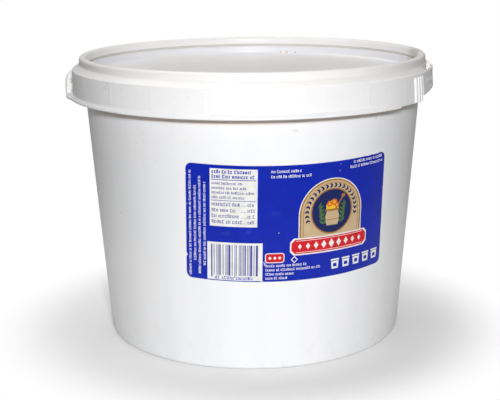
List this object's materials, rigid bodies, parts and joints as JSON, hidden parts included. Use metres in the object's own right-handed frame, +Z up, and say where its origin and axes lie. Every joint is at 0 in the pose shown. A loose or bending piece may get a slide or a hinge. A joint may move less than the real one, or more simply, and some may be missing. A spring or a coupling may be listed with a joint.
{
  "type": "mustard pail",
  "caption": "Round white plastic pail of prepared mustard, with a press-on lid shut over it, a flared skirt, an opening tab and a blue wrap label on its front.",
  "frame": {"origin": "on the pail's own axis, in the plane that it stands on", "axes": "+Z up along the pail's axis, -Y towards the front that the label's left half faces, +X to the right, towards the opening tab"},
  "size_m": [0.2313, 0.229, 0.176],
  "materials": {
    "pail_plastic": "smooth cool white polyethylene, soft gloss",
    "lid_plastic": "smooth warm white polyethylene, soft gloss",
    "label_film": "glossy printed film, deep blue"
  },
  "bodies": {
    "root": {"pail": "pail_plastic", "lid": "lid_plastic", "label": "label_film"}
  },
  "joints": []
}
